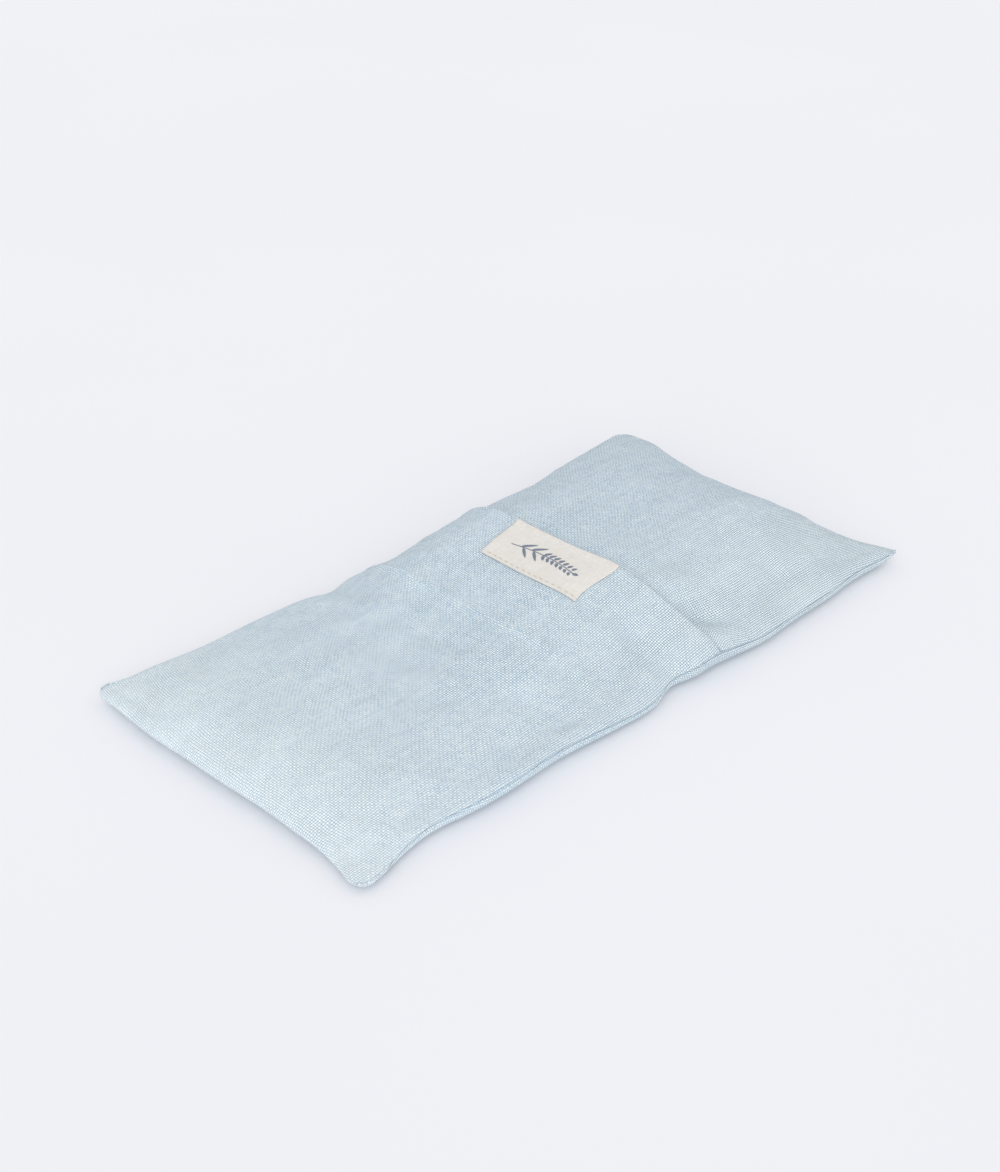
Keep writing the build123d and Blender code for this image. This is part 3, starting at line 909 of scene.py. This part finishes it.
def lift_with_flap(made):
    """Bends a piece from the cover to the flap. The flap's two ends are sewn into the side seams, so they
    stay down while its middle lifts."""
    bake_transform(made, "cover", "flap", (BEND_START * MM, 0, 0), (BEND_END * MM, 0, 0))
    share = made.data.attributes["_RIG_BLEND"].data
    weights = np.zeros(len(share))
    share.foreach_get("value", weights)
    sideways = np.abs(read_points(made.data)[:, 1])
    share.foreach_set("value", weights * (1 - smooth(sideways, LIFTS_WHOLE, WIDTH / 2 - 2)))


def put_on(made, body, material_slot, *nodes):
    """Joins a piece to its body, and hides the CAD nodes that it stands for. material_slot is not used."""
    if body == "flap":
        lift_with_flap(made)
    else:
        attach(made, body)
    if nodes:
        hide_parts(*nodes)
    return made


front, front_flat = front_sheet(linen)
put_on(front, "flap", "linen", "cover_front_panel", "cover_flap", "flap_hem_fold")
back, back_flat = back_sheet(linen)
put_on(back, "cover", "linen", "cover_back_panel", "cover_rear_panel", "rear_hem_fold")

HEM_STITCH_INSET, HEM_STITCH_MARGIN = 3.0, 6.0  # from a hem's inner edge, and from the side seams
THREAD_RADIUS = 0.14


def hem_stitching(name, along, depth):
    """Stitches across the pillow, at a depth under its top."""
    line = on_flap(along, evenly(HEM_STITCH_MARGIN, WIDTH - HEM_STITCH_MARGIN, 1.0), -depth)
    return row_of_stitches(name, line, 3.0, 2.2, THREAD_RADIUS, linen_thread)


flap_stitches = hem_stitching("flap_hem_stitching", FLAP_HEM_EDGE + HEM_STITCH_INSET, 0.0)
put_on(flap_stitches, "flap", "sewing_thread", "flap_hem_stitches")
rear_stitches = hem_stitching("rear_hem_stitching", REAR_HEM_EDGE - HEM_STITCH_INSET,
                              FLAP_STEP + UNDER_FLAP_DEPTH + 0.1)
put_on(rear_stitches, "cover", "sewing_thread", "rear_hem_stitches")


# ---- Label ----
TAPE = 0.35
TAPE_LIFT = 0.12  # air between the label and the flap
SELVEDGE, SELVEDGE_RISE = 1.3, 0.1  # width of the label's firmer edges, and their height
LABEL_ASKEW = 1.3
MOTIF_RISE, MOTIF_THICKNESS = 0.08, 0.16


def label_point(share_along, share_across, above):
    """Point on the label: shares of its width along the pillow and of its length across it. It was cut a
    little askew, so its lower far corner is drawn in."""
    askew = LABEL_ASKEW * share_across * (1 - share_along)
    along = LABEL_START + (LABEL_END - LABEL_START) * share_along + askew
    across = LABEL_NEAR + (LABEL_FAR - LABEL_NEAR) * share_across - askew
    return on_flap(along, across, above)


def label_sheet():
    """The woven label, with a slightly thicker selvedge along its two long edges."""
    a, b = np.meshgrid(evenly(0, 1, 1 / 44), evenly(0, 1, 1 / 70), indexing="ij")
    edge = np.minimum(a, 1 - a) * (LABEL_END - LABEL_START)
    above = TAPE_LIFT + TAPE + SELVEDGE_RISE * (1 - smooth(edge, SELVEDGE - 0.4, SELVEDGE))
    return cloth("woven_label", label_point(a, b, above), TAPE, tape)


def leaf(centre, length, width, turn, tip=1.0):
    """Outline of a leaf or bud, in millimetres on the label: x across it and y along the pillow."""
    angles = np.arange(14) * 2 * math.pi / 14
    long_way = np.cos(angles) * length / 2
    wide = np.sin(angles) * width / 2 * (1 - 0.35 * tip * np.cos(angles))
    x = centre[0] + long_way * math.cos(turn) - wide * math.sin(turn)
    y = centre[1] + long_way * math.sin(turn) + wide * math.cos(turn)
    return np.stack([x, y], axis=1)


def stem_places(count):
    """Places along the sprig's gently curved stem, in millimetres from the label's middle."""
    x = np.linspace(-14.0, 13.0, count)
    return np.stack([x, 1.6 * np.sin((x + 14) / 27 * math.pi) - 0.9], axis=1)


def sprig_outlines():
    """A sprig of lavender lying along the label: a stem, paired leaves and a loose spike of buds."""
    outlines = []
    stem = stem_places(28)
    for here, there in zip(stem, stem[1:]):
        middle, way = (here + there) / 2, there - here
        outlines.append(leaf(middle, 1.25, 0.36, math.atan2(way[1], way[0]), 0.0))
    for place, side in ((4, 1), (5, -1), (8, 1), (9, -1)):
        outlines.append(leaf(stem[place] + (1.7, side * 1.9), 5.2, 1.0, side * 0.7))
    for step, place in enumerate(range(13, 26, 2)):
        size = 2.5 - 0.15 * step
        for side in (1, -1):
            outlines.append(leaf(stem[place] + (0.5, side * 1.25), size, 1.05, side * 0.9))
    outlines.append(leaf(stem[-1] + (0.6, 0.0), 2.0, 1.1, 0.0))
    return outlines


def motif():
    """The sprig as thin raised threads on the label."""
    vertices, faces = [], []
    top = TAPE_LIFT + TAPE + MOTIF_RISE
    for outline in sprig_outlines():
        share_along = 0.5 + outline[:, 1] / (LABEL_END - LABEL_START)
        share_across = 0.5 - outline[:, 0] / (LABEL_FAR - LABEL_NEAR)
        faces += tube_faces(len(vertices), len(outline), 2)
        for above in (top, top - MOTIF_THICKNESS):
            vertices += list(label_point(share_along, share_across, above))
    return new_object("label_motif", vertices, faces, motif_threads, smooth_faces=False)


def label_stitching(name, share_along, radius, thread):
    """Stitches along one long edge of the label, on its upper face."""
    line = label_point(share_along, evenly(0.02, 0.98, 1 / 60), TAPE_LIFT + TAPE + 0.13)
    return row_of_stitches(name, line, 2.4, 1.5, radius, thread)


woven_label = put_on(label_sheet(), "flap", "label_tape", "label")
label_motif = put_on(motif(), "flap", "label_thread")
lower_stitches = label_stitching("label_stitching_lower", 0.06, 0.13, beige_thread)
upper_stitches = label_stitching("label_stitching_upper", 0.94, 0.11, white_thread)
put_on(lower_stitches, "flap", "label_thread", "label_stitches")
put_on(upper_stitches, "flap", "label_thread")


# ---- Side seams, inside the cover ----
ALLOWANCE_START, ALLOWANCE_WIDTH = 2.4, 7.0
ALLOWANCE_DEPTH = LINEN + 0.15
ALLOWANCE_TOP = ALLOWANCE_DEPTH + 2 * LINEN  # depth of its upper face
ALLOWANCE_ENDS = 9.0
SEAM_INSET, OVERLOCK_INSET = 1.2, 1.3  # from the allowance's two long edges


def allowance_line(side, inset, depth):
    """Line along a side seam's allowance, which is turned down along the inside of the underside."""
    along = evenly(ALLOWANCE_ENDS, LENGTH - ALLOWANCE_ENDS, 2.0)
    across = np.full_like(along, WIDTH - inset if side == "far" else inset)
    return under_cloth(along, across, np.full_like(along, depth), True)


def seam_allowance(side):
    """Raw edges of both panels, sewn together and turned down inside the cover."""
    insets = evenly(ALLOWANCE_START, ALLOWANCE_START + ALLOWANCE_WIDTH, 0.8)
    if side == "far":
        insets = insets[::-1]
    grid = np.stack([allowance_line(side, inset, ALLOWANCE_DEPTH) for inset in insets], axis=1)
    made = cloth("allowance_" + side, grid, 2 * LINEN, linen, -1)
    return put_on(made, "cover", "linen", "seam_allowance_" + side)


def seam_stitching(side):
    """Straight stitches through both panels, close inside the seam."""
    line = allowance_line(side, ALLOWANCE_START + SEAM_INSET, ALLOWANCE_TOP + 0.05)
    made = row_of_stitches("side_seam_stitching_" + side, line, 2.6, 2.0, THREAD_RADIUS, linen_thread)
    return put_on(made, "cover", "sewing_thread", "side_stitches_" + side)


def overlocking(side):
    """Bars of thread over the allowance's raw edge, leaning one way and the other in turn."""
    line = allowance_line(side, ALLOWANCE_START + ALLOWANCE_WIDTH - OVERLOCK_INSET, ALLOWANCE_TOP + 0.1)
    centres = points_along(line, np.arange(1.0, run_length(line)[-1], 1.5))
    lean = [(0.25 if k % 2 == 0 else -0.25, 1.0, 0.0) for k in range(len(centres))]
    made = stitches("overlocking_" + side, centres, np.array(lean), 2.4, 0.13, white_thread)
    return put_on(made, "cover", "overlock_thread", "overlock_" + side)


seam_pieces = []
for seam_side in ("near", "far"):
    seam_pieces += [seam_allowance(seam_side), seam_stitching(seam_side), overlocking(seam_side)]


# ---- Inner pillow ----
BAG_END_GAP, BAG_SIDE_GAP = 8.5, 7.5  # from the cover's edges to the bag's, on the flat
BAG_TOP_GAP, BAG_UNDER_GAP = 3.6, 1.25
BAG_END_ROUND, BAG_SIDE_ROUND, BAG_UNDER_ROUND = 34.0, 30.0, 16.0
BAG_EDGE = 0.12  # share of the bag at each edge where its points lie closer
COTTON = 0.4
SEED_GAP = 0.5
SEED_MARGINS = 0.07, 0.035  # shares of the bag that the seed leaves empty at its ends and its sides


def bag_point(share_along, share_across, under, inside=0.0):
    """Point on the inner bag, which lies a little way inside the cover all round."""
    along = BAG_END_GAP + (LENGTH - 2 * BAG_END_GAP) * share_along
    across = BAG_SIDE_GAP + (WIDTH - 2 * BAG_SIDE_GAP) * share_across
    end = np.minimum(along - BAG_END_GAP, LENGTH - BAG_END_GAP - along)
    side = np.minimum(across - BAG_SIDE_GAP, WIDTH - BAG_SIDE_GAP - across)
    x, y = plan(along, across)
    top, bottom = heights(along, across)
    seam = (top + bottom) / 2
    if under:
        full = round_up(end, BAG_UNDER_ROUND) * round_up(side, BAG_UNDER_ROUND)
        z = seam - (seam - bottom - BAG_UNDER_GAP) * full + inside
    else:
        full = round_up(end, BAG_END_ROUND) * round_up(side, BAG_SIDE_ROUND)
        z = seam + np.maximum(top - BAG_TOP_GAP - seam, 0) * full - inside
    return np.stack([x, y, z], axis=-1)


def bag_grid(under, end_margin=0.0, side_margin=0.0, inside=0.0):
    """Grid of points on one leaf of the bag, or inside it by some margins."""
    edge = from_edge(BAG_EDGE, 10)
    shares = np.concatenate([edge, evenly(BAG_EDGE, 1 - BAG_EDGE, 0.012), 1 - edge[::-1]])
    a, b = np.meshgrid(end_margin + (1 - 2 * end_margin) * shares,
                       side_margin + (1 - 2 * side_margin) * shares, indexing="ij")
    return bag_point(a, b, under, inside)


def bag_panel(name, under, node):
    """One leaf of the inner bag."""
    grid = bag_grid(under)
    made = cloth(name, grid, COTTON, cotton, -1 if under else 1, len(grid) // 2)
    put_on(made, "inner_pillow", "inner_cotton", node)


def seed_cushion():
    """The flax seed as one closed heap with a lumpy skin, just inside the cotton. It doesn't reach the
    bag's flat edges."""
    top, bottom = (bag_grid(under, *SEED_MARGINS, COTTON + SEED_GAP) for under in (False, True))
    lumps = np.minimum(0.25 * np.sin(top[..., 0] * 1.7 + 2.0) * np.sin(top[..., 1] * 1.9), 0)
    middle = (top[..., 2] + bottom[..., 2]) / 2
    room = np.clip((top[..., 2] - bottom[..., 2]) / 2, 0.2, None)
    top[..., 2] = middle + room + lumps
    bottom[..., 2] = middle - room - lumps
    skin = np.concatenate([top.reshape(-1, 3), bottom.reshape(-1, 3)])
    made = new_object("flax_filling", skin, closed_faces(*top.shape[:2]), seeds)
    put_on(made, "inner_pillow", "flax_seed", "seed_filling")


def bag_seam_line(start, end):
    """Line just above the bag's flat edge, between two corners given as shares of its length and width."""
    steps = evenly(0, 1, 1 / 120)[:, None]
    shares = np.clip(np.array(start) + (np.array(end) - np.array(start)) * steps, 0.018, 1 - 0.018)
    return bag_point(shares[:, 0], shares[:, 1], False) + (0, 0, 0.12)


def bag_stitching():
    """Seam stitches round three sides of the bag, and closer ones where it was shut after filling."""
    corners = ((0, 0), (1, 0), (1, 1), (0, 1), (0, 0))
    *sewn, shut = [bag_seam_line(here, there) for here, there in zip(corners, corners[1:])]
    seam = row_of_stitches("inner_bag_seam", np.concatenate(sewn), 2.6, 2.0, THREAD_RADIUS, cotton_thread)
    closing = row_of_stitches("inner_bag_closing", shut, 1.9, 1.3, THREAD_RADIUS, cotton_thread)
    put_on(seam, "inner_pillow", "inner_thread", "inner_seam_stitches")
    put_on(closing, "inner_pillow", "inner_thread", "inner_closing_stitches")


bag_panel("inner_bag_upper", False, "inner_bag_top")
bag_panel("inner_bag_lower", True, "inner_bag_bottom")
seed_cushion()
bag_stitching()


# ---- Setting ----
def floor_material():
    """Plain pale studio floor, faintly uneven."""
    paint = Paint("studio_floor")
    place = paint.body_place()
    uneven = paint.noise(place, 0.004, 2.0)
    colour = paint.colours(uneven, (0.3, (240, 241, 245)), (0.7, (242, 243, 247)))
    return paint.finish(colour, uneven, 0.05, 0.1, Roughness=0.9, Specular_IOR_Level=0.1)


def studio():
    """A pale floor, soft light all round and one wide soft light from the camera's side."""
    corners = [(x * FLOOR_HALF, y * FLOOR_HALF, 0) for x, y in ((-1, -1), (1, -1), (1, 1), (-1, 1))]
    floor = new_object("floor", corners, [(0, 1, 2, 3)], floor_material(), smooth_faces=False)
    world = bpy.data.worlds.new("studio")
    world.use_nodes = True
    backdrop = world.node_tree.nodes["Background"]
    backdrop.inputs["Color"].default_value = (0.995, 0.99, 1.0, 1.0)
    backdrop.inputs["Strength"].default_value = 0.82
    bpy.context.scene.world = world
    lamp = bpy.data.lights.new("soft_key", "SUN")
    lamp.angle = math.radians(60)
    lamp.energy = 1.15
    key = bpy.data.objects.new("soft_key", lamp)
    key.location = (-0.65, -0.6, 0.5)
    aim(key, (0.0, 0.0, 0.0))
    bpy.context.scene.collection.objects.link(key)


def aim(made, target):
    """Turns a light or camera to look at a point."""
    way = np.array(target) - np.array(made.location)
    flat = math.hypot(way[0], way[1])
    made.rotation_euler = (math.atan2(flat, -way[2]), 0.0, math.atan2(-way[0], way[1]))


CAMERA_AZIMUTH, CAMERA_ELEVATION, CAMERA_DISTANCE = -44.7, 30.6, 0.5395
CAMERA_TARGET = (0.0149, 0.0234, 0.0)
LENS = 53.5
FLOOR_HALF = 3000.0  # half the floor's side, in millimetres


def camera():
    """The camera, turned round its target by an azimuth and an elevation."""
    azimuth, elevation = math.radians(CAMERA_AZIMUTH), math.radians(CAMERA_ELEVATION)
    back_way = np.array([math.sin(azimuth) * math.cos(elevation), -math.cos(azimuth) * math.cos(elevation),
                         math.sin(elevation)])
    view = bpy.data.cameras.new("camera")
    view.lens = LENS
    view.sensor_width = 36.0
    view.clip_start = 0.01
    made = bpy.data.objects.new("camera", view)
    made.location = tuple(np.array(CAMERA_TARGET) + back_way * CAMERA_DISTANCE)
    aim(made, CAMERA_TARGET)
    bpy.context.scene.collection.objects.link(made)
    bpy.context.scene.camera = made


studio()
camera()
bpy.context.scene.view_settings.view_transform = "Standard"
